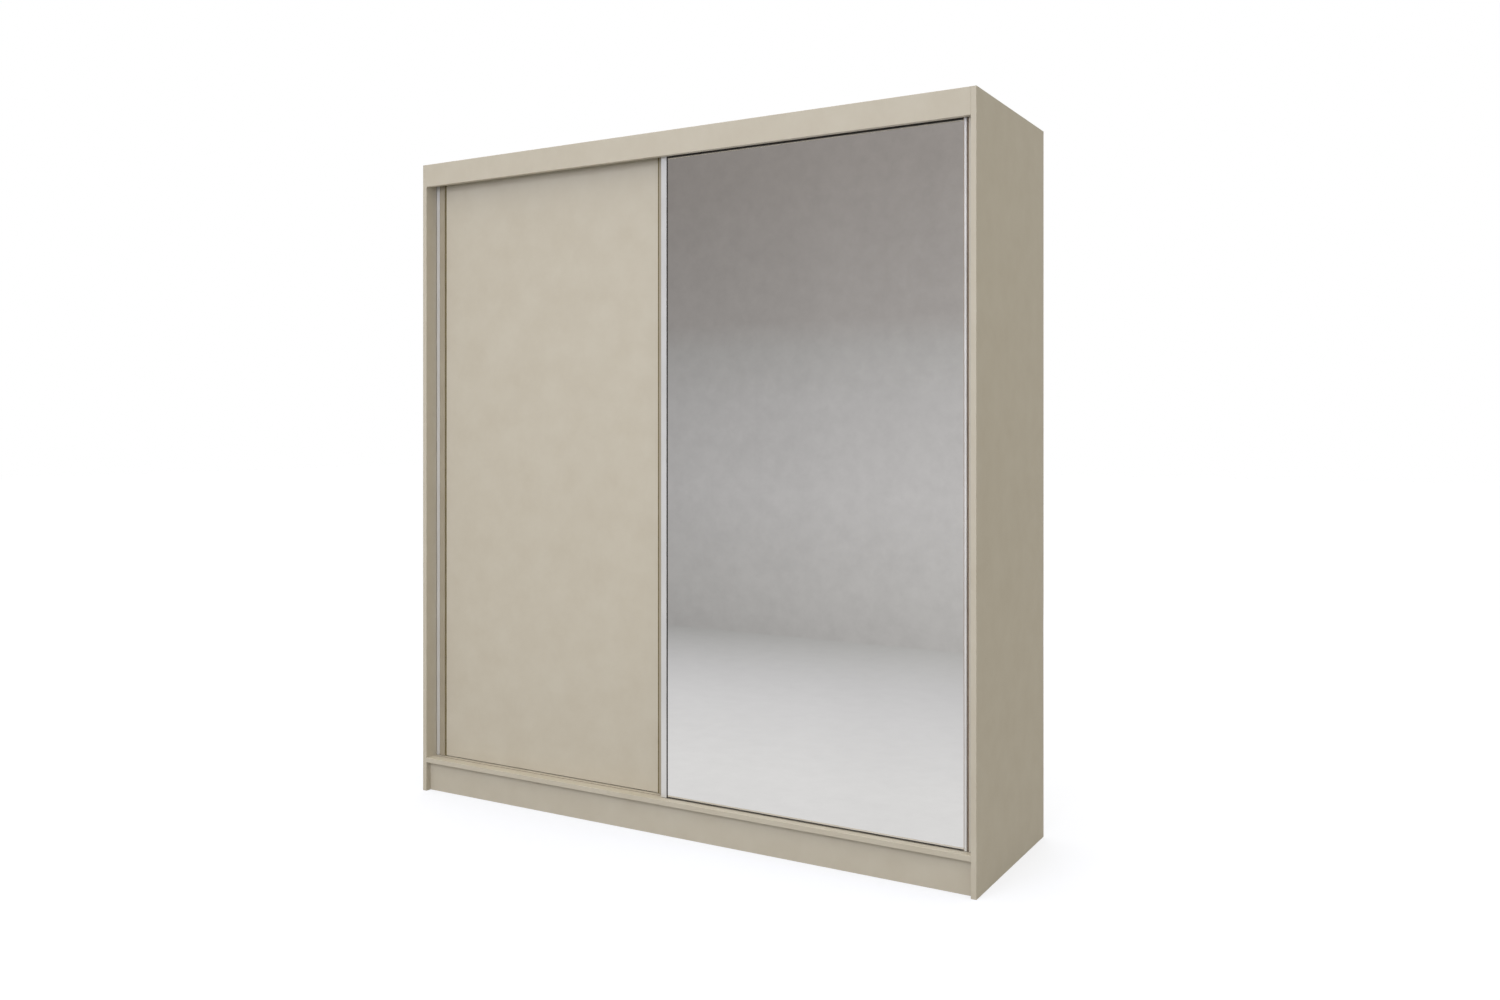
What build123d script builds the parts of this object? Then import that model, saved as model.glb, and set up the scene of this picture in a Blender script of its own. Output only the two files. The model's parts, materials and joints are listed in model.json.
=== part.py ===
from build123d import *
import os

# Sliding door wardrobe with a plain door and a mirror door, both hung from a double top track.
# Millimetres. +Z is up, +X is to the right and the front faces -Y.
# The origin lies on the floor under the middle of the outer box.

# Overall size
WIDTH = 2000.0
DEPTH = 600.0
HEIGHT = 2160.0

# Carcass boards
BOARD = 16.0
EDGE_ROUND = 1.0
BACK_BOARD = 3.0
BACK_INSET = 2.0
BACK_SEAM = 1.0
PLINTH_HEIGHT = 98.0
PLINTH_SETBACK = 20.0
REAR_PLINTH_SETBACK = 30.0
PELMET_HEIGHT = 76.0
PARTITION_CLEARANCE = 14.5

# Interior
LEFT_SHELF_COUNT = 5
LOWEST_SHELF_RISE = 316.0
SHELF_PITCH = 335.0
SHELF_SETBACK = 20.0
SHELF_REAR_GAP = 7.0
SHELF_END_GAP = 0.5
PIN_RADIUS = 2.5
PIN_GRIP = 9.0
PIN_REACH = 9.0
PIN_INSET = 60.0
PIN_CHAMFER = 0.6
HOLE_CLEARANCE = 0.1
RAIL_RADIUS = 12.5
RAIL_WALL = 1.2
RAIL_DROP = 70.0
RAIL_INSET = 235.0
SOCKET_FLANGE_RADIUS = 19.0
SOCKET_FLANGE = 3.0
SOCKET_WALL = 2.8
SOCKET_DEPTH = 14.0
SOCKET_EAR_RADIUS = 7.0
SOCKET_SCREW_OFFSET = 24.0
SCREW_HOLE_RADIUS = 2.2

# Cam locks, cam bolts and dowels
CAM_RADIUS = 7.5
CAM_DEPTH = 12.5
CAM_REACH = 34.0
CAM_CROSS_LENGTH = 9.0
CAM_CROSS_WIDTH = 1.6
CAM_CROSS_DEPTH = 2.0
CAM_ROW_FRONT = 150.0
CAM_ROW_REAR = 97.0
BOLT_RADIUS = 3.2
BOLT_THREAD_RADIUS = 2.5
BOLT_GRIP = 11.0
DOWEL_RADIUS = 4.0
DOWEL_GRIP = 11.0
DOWEL_REACH = 19.0
DOWEL_INSET = 20.0
DOWEL_CHAMFER = 0.8

# Wall brackets
BRACKET_INSET = 200.0
BRACKET_LEG = 40.0
BRACKET_WIDTH = 40.0
BRACKET_STEEL = 2.0
BRACKET_BEND = 2.0
BRACKET_HOLE_RADIUS = 3.0
BRACKET_HOLE_DROP = 22.0
BRACKET_SCREW_OFFSET = 12.0

# Doors
DOOR_SIDE_GAP = 2.0
CLOSING_GAP = 7.0
DOOR_FLOOR_GAP = 3.0
DOOR_TOP_COVER = 16.0
DOOR_GAP = 3.5
MIRROR_DOOR_SETBACK = 24.0
MIRROR_DOOR_WIDTH = 1001.0
DOOR_OVERLAP = 11.0
STILE_DROP = 1.5
STILE_WALL = 1.6
STILE_BACK = 1.5
STILE_ROUND = 0.8
SEAT_GAP = 0.4

# Mirror door: slim profiles, the closing one with a shadow groove
MIRROR_GLASS = 4.0
MIRROR_BOARD = 12.0
SLIM_WIDTH = 20.0
SLIM_LIP = 3.0
SLIM_SLOT = 5.2
GROOVE_WIDTH = 6.4
GROOVE_DEPTH = 10.5
GROOVE_STRIP = 1.5
BEAD_WIDTH = 1.4
BEAD_SINK = 0.4
BEAD_FOOT = 0.7
BEAD_DROP = 3.0

# Plain door: wide profile with a laminate inlay
PLAIN_BOARD = 16.0
WIDE_WIDTH = 36.0
WIDE_LIP = 13.0
WIDE_SLOT = 14.4
INLAY_SINK = 1.0
INLAY_BOARD = 1.5
INLAY_ROUND = 0.7
INLAY_BACKING = 2.5
PLAIN_GASKET_WIDTH = 5.0
PLAIN_GASKET = 1.5

# Brushes on the doors
BRUSH_WIDTH = 6.0
BRUSH_CLEARANCE = 0.3
OVERLAP_BRUSH_INSET = 2.0

# Top track and rollers
TRACK_HEIGHT = 29.0
TRACK_PLATE = 2.0
TRACK_WEB = 1.6
TRACK_LIP = 1.8
TRACK_SLOT = 8.0
TRACK_END_GAP = 0.5
ROLLER_RADIUS = 11.0
ROLLER_CLEARANCE = 0.9
ROLLER_RUN_GAP = 0.25
ROLLER_ROUND = 0.6
ROLLER_DISH = 1.2
ROLLER_HUB_RADIUS = 5.0
ROLLER_RIM = 2.2
AXLE_RADIUS = 2.0
AXLE_FIT = 0.05
AXLE_PLAY = 0.1
AXLE_SHOULDER_RADIUS = 3.5
AXLE_HEAD = 0.6
HANGER_INSET = 120.0
HANGER_STEEL = 3.0
HANGER_FOOT_LENGTH = 70.0
HANGER_FOOT_MARGIN = 1.0
HANGER_FOOT_ROUND = 2.5
HANGER_SCREW_OFFSET = 28.0
HANGER_NECK_WIDTH = 40.0
HANGER_EYE_RADIUS = 8.0
STOP_LENGTH = 14.0
STOP_NOSE = 6.0
STOP_NOSE_RADIUS = 7.0
STOP_CLEARANCE = 0.4

# Bottom guides
CHANNEL_WIDTH = 8.0
CHANNEL_DEPTH = 9.0
CHANNEL_WALL = 1.0
SHOE_LENGTH = 60.0
SHOE_BASE = 2.0
SHOE_BASE_WIDTH = 10.0
SHOE_SIDE_PLAY = 0.5
SHOE_FLOOR_PLAY = 1.0
SHOE_ROUND = 2.0
SHOE_ROUND_LIMIT = 0.9

# Places worked out from the sizes above
x_in = WIDTH / 2 - BOARD
y_front = -DEPTH / 2
y_boards = DEPTH / 2 - BACK_BOARD
z_floor = PLINTH_HEIGHT + BOARD
z_ceiling = HEIGHT - BOARD
z_pelmet = HEIGHT - PELMET_HEIGHT
z_door_bottom = z_floor + DOOR_FLOOR_GAP
z_door_top = z_pelmet + DOOR_TOP_COVER
z_stile_bottom = z_door_bottom - STILE_DROP

groove_end = SLIM_WIDTH - SLIM_SLOT - STILE_WALL
groove_start = groove_end - GROOVE_WIDTH
slim_stack = MIRROR_GLASS + MIRROR_BOARD
slim_depth = SLIM_LIP + slim_stack + STILE_BACK
wide_front = INLAY_SINK + INLAY_BOARD + INLAY_BACKING
wide_depth = wide_front + PLAIN_BOARD + STILE_BACK

y_mirror_door = y_front + MIRROR_DOOR_SETBACK
y_mirror_face = y_mirror_door + SLIM_LIP
y_mirror_back = y_mirror_door + slim_depth
y_plain_door = y_mirror_back + DOOR_GAP
y_plain_back = y_plain_door + wide_depth
y_mirror_lane = y_mirror_face + MIRROR_GLASS + MIRROR_BOARD / 2
y_plain_lane = y_plain_door + wide_front + PLAIN_BOARD / 2
lanes = (y_mirror_lane, y_plain_lane)

x_door_end = x_in - DOOR_SIDE_GAP
x_mirror_end = x_in - CLOSING_GAP
mirror_span = (x_mirror_end - MIRROR_DOOR_WIDTH, x_mirror_end)
plain_span = (-x_door_end, mirror_span[0] + DOOR_OVERLAP)

y_partition = y_plain_back + PARTITION_CLEARANCE
y_shelf_front = y_partition + SHELF_SETBACK
y_shelf_rear = y_boards - SHELF_REAR_GAP
shelf_levels = [z_floor + LOWEST_SHELF_RISE + i * SHELF_PITCH for i in range(LEFT_SHELF_COUNT)]
pin_rows = (y_shelf_front + PIN_INSET, y_shelf_rear - PIN_INSET)
z_rail = shelf_levels[-1] - RAIL_DROP
y_rail = y_shelf_front + RAIL_INSET

cam_rows = (y_front + CAM_ROW_FRONT, y_boards - CAM_ROW_REAR)
z_panel_middles = (PLINTH_HEIGHT + BOARD / 2, z_ceiling + BOARD / 2)
y_plinth = y_front + PLINTH_SETBACK
y_rear_plinth = y_boards - REAR_PLINTH_SETBACK - BOARD
x_bracket = WIDTH / 2 - BRACKET_INSET
z_bracket_hole = z_ceiling - BRACKET_HOLE_DROP

track_channel = y_plain_lane - y_mirror_lane - TRACK_WEB
z_track = z_ceiling - TRACK_HEIGHT
z_lip_top = z_track + TRACK_LIP
z_axle = z_lip_top + ROLLER_RUN_GAP + ROLLER_RADIUS
roller_width = (track_channel - TRACK_SLOT) / 2 - 2 * ROLLER_CLEARANCE
roller_offset = TRACK_SLOT / 2 + ROLLER_CLEARANCE
stop_inset = HANGER_INSET - ROLLER_RADIUS - STOP_CLEARANCE

parts = {}


def slab(x_range, y_range, z_range):
    """A box between two limits on each axis, given in either order."""
    sizes = [abs(high - low) for low, high in (x_range, y_range, z_range)]
    middle = [(low + high) / 2 for low, high in (x_range, y_range, z_range)]
    return Pos(*middle) * Box(*sizes)


def rod(start, direction, radius, length):
    """A cylinder that starts at a point and runs along a direction."""
    base = Plane(origin=start, z_dir=direction)
    return base * Cylinder(radius, length, align=(Align.CENTER, Align.CENTER, Align.MIN))


def rect(s_range, e_range):
    """A rectangle in a profile's section: s runs in from the door's edge, e runs back from its front."""
    s_low, s_high = s_range
    e_low, e_high = e_range
    return Pos((s_low + s_high) / 2, (e_low + e_high) / 2) * Rectangle(s_high - s_low, e_high - e_low)


def round_front(board, along):
    """Rounds the two long front edges of a board, as its edging is."""
    return fillet(board.edges().filter_by(along).group_by(Axis.Y)[0], EDGE_ROUND)


def group(solids):
    """Several separate solids in one node."""
    return Compound(children=list(solids))


# Where the pieces that join boards sit
dowel_places = []
for z in (z_pelmet + DOWEL_INSET, HEIGHT - DOWEL_INSET):
    dowel_places.append((y_front + BOARD / 2, z))
for y in (y_plinth + BOARD / 2, y_rear_plinth + BOARD / 2):
    for z in (DOWEL_INSET, PLINTH_HEIGHT - DOWEL_INSET):
        dowel_places.append((y, z))
panel_bolt_places = [(y, z) for z in z_panel_middles for y in cam_rows]


def pin_places(side):
    """Rows of shelf pins on the outer wall of a bay: all shelves on the left, the top one on the right."""
    levels = shelf_levels if side < 0 else shelf_levels[-1:]
    return [(y, level - PIN_RADIUS) for level in levels for y in pin_rows]


def bore(start, direction, radius, depth):
    """A blind hole with its fit clearance, cut from a face into a board."""
    return rod(start, direction, radius + HOLE_CLEARANCE, depth + HOLE_CLEARANCE)


def side_panel(side):
    board = slab((side * x_in, side * WIDTH / 2), (y_front, y_boards), (0, HEIGHT))
    board = round_front(board, Axis.Z)
    out = (side, 0, 0)
    holes = [bore((side * x_in, y, z), out, PIN_RADIUS, PIN_GRIP) for y, z in pin_places(side)]
    holes += [bore((side * x_in, y, z), out, BOLT_THREAD_RADIUS, BOLT_GRIP) for y, z in panel_bolt_places]
    holes += [bore((side * x_in, y, z), out, DOWEL_RADIUS, DOWEL_GRIP) for y, z in dowel_places]
    return board - holes


def panel_cam_holes(z_low):
    """Cam pockets in the underside of a level panel and bolt bores in its two ends."""
    holes = []
    for side in (-1, 1):
        for y in cam_rows:
            holes.append(bore((side * (x_in - CAM_REACH), y, z_low), (0, 0, 1), CAM_RADIUS, CAM_DEPTH))
            holes.append(bore((side * x_in, y, z_low + BOARD / 2), (-side, 0, 0), BOLT_RADIUS, CAM_REACH))
    return holes


def top_panel():
    board = slab((-x_in, x_in), (y_front + BOARD, y_boards), (z_ceiling, HEIGHT))
    holes = panel_cam_holes(z_ceiling)
    holes += [bore((0, y, z_ceiling), (0, 0, 1), BOLT_THREAD_RADIUS, BOLT_GRIP) for y in cam_rows]
    return board - holes


def bottom_panel():
    board = slab((-x_in, x_in), (y_front, y_boards), (PLINTH_HEIGHT, z_floor))
    board = round_front(board, Axis.X)
    half = CHANNEL_WIDTH / 2
    grooves = [slab((-x_in, x_in), (y - half, y + half), (z_floor - CHANNEL_DEPTH, z_floor)) for y in lanes]
    holes = panel_cam_holes(PLINTH_HEIGHT)
    holes += [bore((0, y, z_floor), (0, 0, -1), BOLT_THREAD_RADIUS, BOLT_GRIP) for y in cam_rows]
    return board - grooves - holes


def cross_board(y_low, z_range, rounded):
    """A board between the sides that stands on edge, with dowel holes in both ends."""
    board = slab((-x_in, x_in), (y_low, y_low + BOARD), z_range)
    if rounded:
        board = round_front(board, Axis.X)
    holes = []
    for y, z in dowel_places:
        if y_low < y < y_low + BOARD and z_range[0] < z < z_range[1]:
            for side in (-1, 1):
                holes.append(bore((side * x_in, y, z), (-side, 0, 0), DOWEL_RADIUS, DOWEL_REACH))
    return board - holes


def partition():
    board = slab((-BOARD / 2, BOARD / 2), (y_partition, y_boards), (z_floor, z_ceiling))
    board = round_front(board, Axis.Z)
    holes = []
    for y in cam_rows:
        for z_end, up in ((z_floor, 1), (z_ceiling, -1)):
            holes.append(bore((BOARD / 2, y, z_end + up * CAM_REACH), (-1, 0, 0), CAM_RADIUS, CAM_DEPTH))
            holes.append(bore((0, y, z_end), (0, 0, up), BOLT_RADIUS, CAM_REACH))
    through = BOARD + 2 * HOLE_CLEARANCE
    top_level = shelf_levels[-1]
    for level in shelf_levels:
        depth = through if level == top_level else PIN_REACH + HOLE_CLEARANCE
        for y in pin_rows:
            start = (-BOARD / 2 - HOLE_CLEARANCE, y, level - PIN_RADIUS)
            holes.append(bore(start, (1, 0, 0), PIN_RADIUS, depth))
    return board - holes


def back_panel(side):
    x_range = (side * BACK_SEAM / 2, side * (WIDTH / 2 - BACK_INSET))
    sheet = slab(x_range, (y_boards, DEPTH / 2), (PLINTH_HEIGHT + BACK_INSET, HEIGHT - BACK_INSET))
    start = (side * x_bracket, y_boards, z_bracket_hole)
    return sheet - rod(start, (0, 1, 0), BRACKET_HOLE_RADIUS, BACK_BOARD)


def shelf(side, level):
    x_range = (side * (BOARD / 2 + SHELF_END_GAP), side * (x_in - SHELF_END_GAP))
    board = slab(x_range, (y_shelf_front, y_shelf_rear), (level, level + BOARD))
    return round_front(board, Axis.X)


def chamfered_rod(start, direction, radius, length, bevel):
    """A rod with both ends bevelled."""
    blank = rod(start, direction, radius, length)
    return chamfer(blank.edges().filter_by(GeomType.CIRCLE), bevel)


def shelf_pins():
    """Pins in the outer wall of each bay, and pins through or into the partition."""
    length = PIN_GRIP + PIN_REACH
    pins = []
    for side in (-1, 1):
        for y, z in pin_places(side):
            start = (side * (x_in + PIN_GRIP), y, z)
            pins.append(chamfered_rod(start, (-side, 0, 0), PIN_RADIUS, length, PIN_CHAMFER))
    for level in shelf_levels:
        right_end = BOARD / 2 + PIN_REACH if level == shelf_levels[-1] else -BOARD / 2 + PIN_REACH
        left_end = -BOARD / 2 - PIN_REACH
        for y in pin_rows:
            start = (left_end, y, level - PIN_RADIUS)
            pins.append(chamfered_rod(start, (1, 0, 0), PIN_RADIUS, right_end - left_end, PIN_CHAMFER))
    return group(pins)


def hanging_rail():
    x_low = BOARD / 2 + SOCKET_FLANGE
    length = x_in - SOCKET_FLANGE - x_low
    tube = rod((x_low, y_rail, z_rail), (1, 0, 0), RAIL_RADIUS, length)
    return tube - rod((x_low, y_rail, z_rail), (1, 0, 0), RAIL_RADIUS - RAIL_WALL, length)


def screw_holes(offset):
    """A pair of screw holes in a plate's outline, one on each side of its middle."""
    return [Pos(way * offset, 0) * Circle(SCREW_HOLE_RADIUS) for way in (-1, 1)]


def rail_socket(x_wall, inward):
    """A cup on a wall that holds one end of the rail, with an ear and a screw hole on each side."""
    start = (x_wall, y_rail, z_rail)
    out = (inward, 0, 0)
    inner = RAIL_RADIUS + HOLE_CLEARANCE
    flange = Circle(SOCKET_FLANGE_RADIUS) + SlotCenterToCenter(2 * SOCKET_SCREW_OFFSET, 2 * SOCKET_EAR_RADIUS)
    flange -= screw_holes(SOCKET_SCREW_OFFSET)
    cup = extrude(Plane(origin=start, x_dir=(0, 1, 0), z_dir=out) * flange, amount=SOCKET_FLANGE)
    cup += rod(start, out, inner + SOCKET_WALL, SOCKET_FLANGE + SOCKET_DEPTH)
    return cup - rod((x_wall + inward * SOCKET_FLANGE, y_rail, z_rail), out, inner, SOCKET_DEPTH)


def cam(start, direction):
    """A cam disc with a cross recess in its face."""
    disc = rod(start, direction, CAM_RADIUS, CAM_DEPTH)
    frame = Plane(origin=start, z_dir=direction)
    bar = Box(CAM_CROSS_LENGTH, CAM_CROSS_WIDTH, 2 * CAM_CROSS_DEPTH)
    return disc - frame * bar - frame * (Rot(0, 0, 90) * bar)


def cam_bolt(start, direction):
    """A bolt whose thread sits in one board and whose shank runs to the cam in the other."""
    back = tuple(-component for component in direction)
    shank = rod(start, direction, BOLT_RADIUS, CAM_REACH - CAM_RADIUS - HOLE_CLEARANCE)
    return shank + rod(start, back, BOLT_THREAD_RADIUS, BOLT_GRIP)


def cams_and_bolts():
    cams = []
    bolts = []
    for y in cam_rows:
        for side in (-1, 1):
            for z_low in (PLINTH_HEIGHT, z_ceiling):
                cams.append(cam((side * (x_in - CAM_REACH), y, z_low), (0, 0, 1)))
                bolts.append(cam_bolt((side * x_in, y, z_low + BOARD / 2), (-side, 0, 0)))
        for z_end, up in ((z_floor, 1), (z_ceiling, -1)):
            cams.append(cam((BOARD / 2, y, z_end + up * CAM_REACH), (-1, 0, 0)))
            bolts.append(cam_bolt((0, y, z_end), (0, 0, up)))
    return group(cams), group(bolts)


def dowels():
    length = DOWEL_GRIP + DOWEL_REACH
    pegs = []
    for side in (-1, 1):
        for y, z in dowel_places:
            start = (side * (x_in + DOWEL_GRIP), y, z)
            pegs.append(chamfered_rod(start, (-side, 0, 0), DOWEL_RADIUS, length, DOWEL_CHAMFER))
    return group(pegs)


def wall_bracket(side):
    """An angle under the top panel, with two screw holes in its upper leg and a hole that faces the wall."""
    x_middle = side * x_bracket
    x_range = (x_middle - BRACKET_WIDTH / 2, x_middle + BRACKET_WIDTH / 2)
    y_range = (y_boards - BRACKET_LEG, y_boards)
    z_range = (z_ceiling - BRACKET_LEG, z_ceiling)
    angle = slab(x_range, y_range, z_range)
    inside_y = (y_range[0], y_boards - BRACKET_STEEL)
    angle -= slab(x_range, inside_y, (z_range[0], z_ceiling - BRACKET_STEEL))
    z_leg = z_ceiling - BRACKET_STEEL
    inner_bend = angle.edges().filter_by(Axis.X).sort_by_distance((x_middle, inside_y[1], z_leg))
    angle = fillet(inner_bend[:1], BRACKET_BEND)
    for way in (-1, 1):
        start = (x_middle + way * BRACKET_SCREW_OFFSET, y_boards - BRACKET_LEG / 2, z_leg)
        angle -= rod(start, (0, 0, 1), SCREW_HOLE_RADIUS, BRACKET_STEEL)
    return angle - rod((x_middle, inside_y[1], z_bracket_hole), (0, 1, 0), BRACKET_HOLE_RADIUS, BRACKET_STEEL)


def upright(section, x_edge, inward, y_lip):
    """Runs a profile's section up the height of a door, on its left edge (+1) or right edge (-1)."""
    bar = extrude(section, amount=z_door_top - z_stile_bottom, dir=(0, 0, 1))
    if inward < 0:
        bar = mirror(bar, about=Plane.YZ)
    return Pos(x_edge, y_lip, z_stile_bottom) * bar


def slim_section(grooved):
    """Hollow profile of the mirror door. The closing edge's has a deep shadow groove between two lips."""
    slot_start = SLIM_WIDTH - SLIM_SLOT
    slot_back = SLIM_LIP + slim_stack
    section = rect((0, SLIM_WIDTH), (0, slim_depth))
    section -= rect((slot_start, SLIM_WIDTH), (SLIM_LIP, slot_back))
    if grooved:
        section -= rect((groove_start, groove_end), (0, GROOVE_DEPTH))
        section -= rect((STILE_WALL, groove_start - STILE_WALL), (STILE_WALL, slot_back))
        section -= rect((STILE_WALL, groove_end), (GROOVE_DEPTH + STILE_WALL, slot_back))
    else:
        section -= rect((STILE_WALL, slot_start - STILE_WALL), (STILE_WALL, slot_back))
    front = section.vertices().group_by(Axis.Y)[0]
    return fillet(front, STILE_ROUND)


def wide_section():
    """Hollow profile of the plain door: a lip, a seat for the inlay and a slot for the panel."""
    seat = INLAY_SINK + INLAY_BOARD
    slot_start = WIDE_WIDTH - WIDE_SLOT
    slot_back = wide_front + PLAIN_BOARD
    section = rect((0, WIDE_WIDTH), (0, wide_depth))
    section -= rect((WIDE_LIP, WIDE_WIDTH), (0, seat))
    section -= rect((slot_start, WIDE_WIDTH), (wide_front, slot_back))
    section -= rect((STILE_WALL, WIDE_LIP - STILE_WALL), (STILE_WALL, slot_back))
    section -= rect((STILE_WALL, slot_start - STILE_WALL), (wide_front, slot_back))
    front = section.vertices().group_by(Axis.Y)[0]
    return fillet(front, STILE_ROUND)


def inlay_section():
    """Laminate strip in the seat of the wide profile, with eased front edges."""
    strip = rect((WIDE_LIP, WIDE_WIDTH), (INLAY_SINK, INLAY_SINK + INLAY_BOARD))
    return fillet(strip.vertices().group_by(Axis.Y)[0], INLAY_ROUND)


def plain_gasket_section():
    return rect((WIDE_WIDTH, WIDE_WIDTH + PLAIN_GASKET_WIDTH), (wide_front - PLAIN_GASKET, wide_front))


def bead_section():
    """Gasket bead between the slim profile's lip and the mirror."""
    return rect((SLIM_WIDTH, SLIM_WIDTH + BEAD_WIDTH), (BEAD_SINK, SLIM_LIP))


def groove_strip_section():
    """Soft strip on the floor of the slim profile's groove."""
    return rect((groove_start, groove_end), (GROOVE_DEPTH - GROOVE_STRIP, GROOVE_DEPTH))


def cross_bead(z_range):
    """Gasket bead across the mirror, between the upright beads."""
    inset = SLIM_WIDTH + BEAD_WIDTH
    x_range = (mirror_span[0] + inset, mirror_span[1] - inset)
    return slab(x_range, (y_mirror_door + BEAD_SINK, y_mirror_face), z_range)


def both_edges(section, span, y_lip):
    """The same profile on a door's left and right edges."""
    left, right = span
    return upright(section, left, 1, y_lip), upright(section, right, -1, y_lip)


def door_board(span, seat, y_low, thickness):
    """A board or pane that reaches into the slots of both profiles."""
    x_range = (span[0] + seat + SEAT_GAP, span[1] - seat - SEAT_GAP)
    return slab(x_range, (y_low, y_low + thickness), (z_door_bottom, z_door_top))


def edge_brush(x_edge, outward, gap, y_lane):
    """Pile strip on a door's closing edge, which fills the gap to the carcass side."""
    x_range = (x_edge, x_edge + outward * (gap - BRUSH_CLEARANCE))
    y_range = (y_lane - BRUSH_WIDTH / 2, y_lane + BRUSH_WIDTH / 2)
    return slab(x_range, y_range, (z_stile_bottom, z_door_top))


def overlap_brush():
    """Pile strip behind the mirror door's inner edge, which meets the plain door."""
    x_low = mirror_span[0] + OVERLAP_BRUSH_INSET
    y_range = (y_mirror_back, y_mirror_back + DOOR_GAP - BRUSH_CLEARANCE)
    return slab((x_low, x_low + BRUSH_WIDTH), y_range, (z_stile_bottom, z_door_top))


def hanger(x_middle, y_lane, board):
    """Steel hanger: a foot screwed to the door's top edge and an upright eye that carries the axle."""
    foot_width = board - 2 * HANGER_FOOT_MARGIN
    foot_outline = RectangleRounded(HANGER_FOOT_LENGTH, foot_width, HANGER_FOOT_ROUND)
    foot_outline -= screw_holes(HANGER_SCREW_OFFSET)
    foot = Pos(x_middle, y_lane, z_door_top) * extrude(foot_outline, amount=HANGER_STEEL)
    z_foot = z_door_top + HANGER_STEEL
    rise = z_axle - z_foot
    half_neck = HANGER_NECK_WIDTH / 2
    eye = HANGER_EYE_RADIUS
    outline = make_face(Polyline((-half_neck, 0), (half_neck, 0), (eye, rise), (-eye, rise), close=True))
    outline += Pos(0, rise) * Circle(eye)
    outline -= Pos(0, rise) * Circle(AXLE_RADIUS + AXLE_FIT)
    plate = extrude(outline, amount=HANGER_STEEL / 2, both=True)
    return foot + Pos(x_middle, y_lane, z_foot) * (Rot(90, 0, 0) * plate)


def axle(x_middle, y_lane):
    """Stepped axle: shoulders beside the hanger, bearing lengths for two rollers and riveted heads."""
    shoulder = roller_offset - AXLE_PLAY
    bearing = roller_offset + roller_width + AXLE_PLAY
    half = bearing + AXLE_HEAD
    shaft = rod((x_middle, y_lane - half, z_axle), (0, 1, 0), AXLE_RADIUS, 2 * half)
    for way in (-1, 1):
        collar_start = (x_middle, y_lane + way * HANGER_STEEL / 2, z_axle)
        head_start = (x_middle, y_lane + way * bearing, z_axle)
        shaft += rod(collar_start, (0, way, 0), AXLE_SHOULDER_RADIUS, shoulder - HANGER_STEEL / 2)
        shaft += rod(head_start, (0, way, 0), AXLE_SHOULDER_RADIUS, AXLE_HEAD)
    return shaft


def roller_section():
    """Half section of a roller: hub, dished web and a rim with eased corners."""
    inner = AXLE_RADIUS + AXLE_FIT
    rim = ROLLER_RADIUS - ROLLER_RIM
    outline = Polyline(
        (inner, 0),
        (ROLLER_RADIUS, 0),
        (ROLLER_RADIUS, roller_width),
        (rim, roller_width),
        (rim, roller_width - ROLLER_DISH),
        (ROLLER_HUB_RADIUS, roller_width - ROLLER_DISH),
        (ROLLER_HUB_RADIUS, roller_width),
        (inner, roller_width),
        close=True,
    )
    section = make_face(outline)
    return fillet(section.vertices().group_by(Axis.X)[-1], ROLLER_ROUND)


def roller_pair(x_middle, y_lane):
    """Two rollers on one axle, dished sides outwards."""
    wheel = revolve(section_of_roller, Axis.Y)
    near = Pos(x_middle, y_lane + roller_offset, z_axle) * wheel
    far = Pos(x_middle, y_lane - roller_offset, z_axle) * mirror(wheel, about=Plane.XZ)
    return group([near, far])


def guide_shoe(x_middle, y_lane):
    """Nylon shoe under a door: a base plate and a fin that runs in the guide channel."""
    half = SHOE_LENGTH / 2
    x_range = (x_middle - half, x_middle + half)
    half_base = SHOE_BASE_WIDTH / 2
    half_fin = CHANNEL_WIDTH / 2 - CHANNEL_WALL - SHOE_SIDE_PLAY
    z_fin = z_floor - CHANNEL_DEPTH + CHANNEL_WALL + SHOE_FLOOR_PLAY
    base = slab(x_range, (y_lane - half_base, y_lane + half_base), (z_door_bottom - SHOE_BASE, z_door_bottom))
    fin = slab(x_range, (y_lane - half_fin, y_lane + half_fin), (z_fin, z_door_bottom - SHOE_BASE))
    fin = fillet(fin.edges().filter_by(Axis.Z), min(SHOE_ROUND, SHOE_ROUND_LIMIT * half_fin))
    return base + fin


def guide_channel(y_lane):
    """Plastic liner in one groove of the bottom panel."""
    half = CHANNEL_WIDTH / 2
    inner = half - CHANNEL_WALL
    z_low = z_floor - CHANNEL_DEPTH
    liner = slab((-x_in, x_in), (y_lane - half, y_lane + half), (z_low, z_floor))
    return liner - slab((-x_in, x_in), (y_lane - inner, y_lane + inner), (z_low + CHANNEL_WALL, z_floor))


def top_track():
    """Double track: two channels under one plate, each open below by a slot."""
    half = track_channel / 2
    half_slot = TRACK_SLOT / 2
    x_range = (-x_in + TRACK_END_GAP, x_in - TRACK_END_GAP)
    y_range = (y_mirror_lane - half - TRACK_WEB, y_plain_lane + half + TRACK_WEB)
    bar = slab(x_range, y_range, (z_track, z_ceiling))
    for y in lanes:
        bar -= slab(x_range, (y - half, y + half), (z_lip_top, z_ceiling - TRACK_PLATE))
        bar -= slab(x_range, (y - half_slot, y + half_slot), (z_track, z_lip_top))
    return bar


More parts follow.
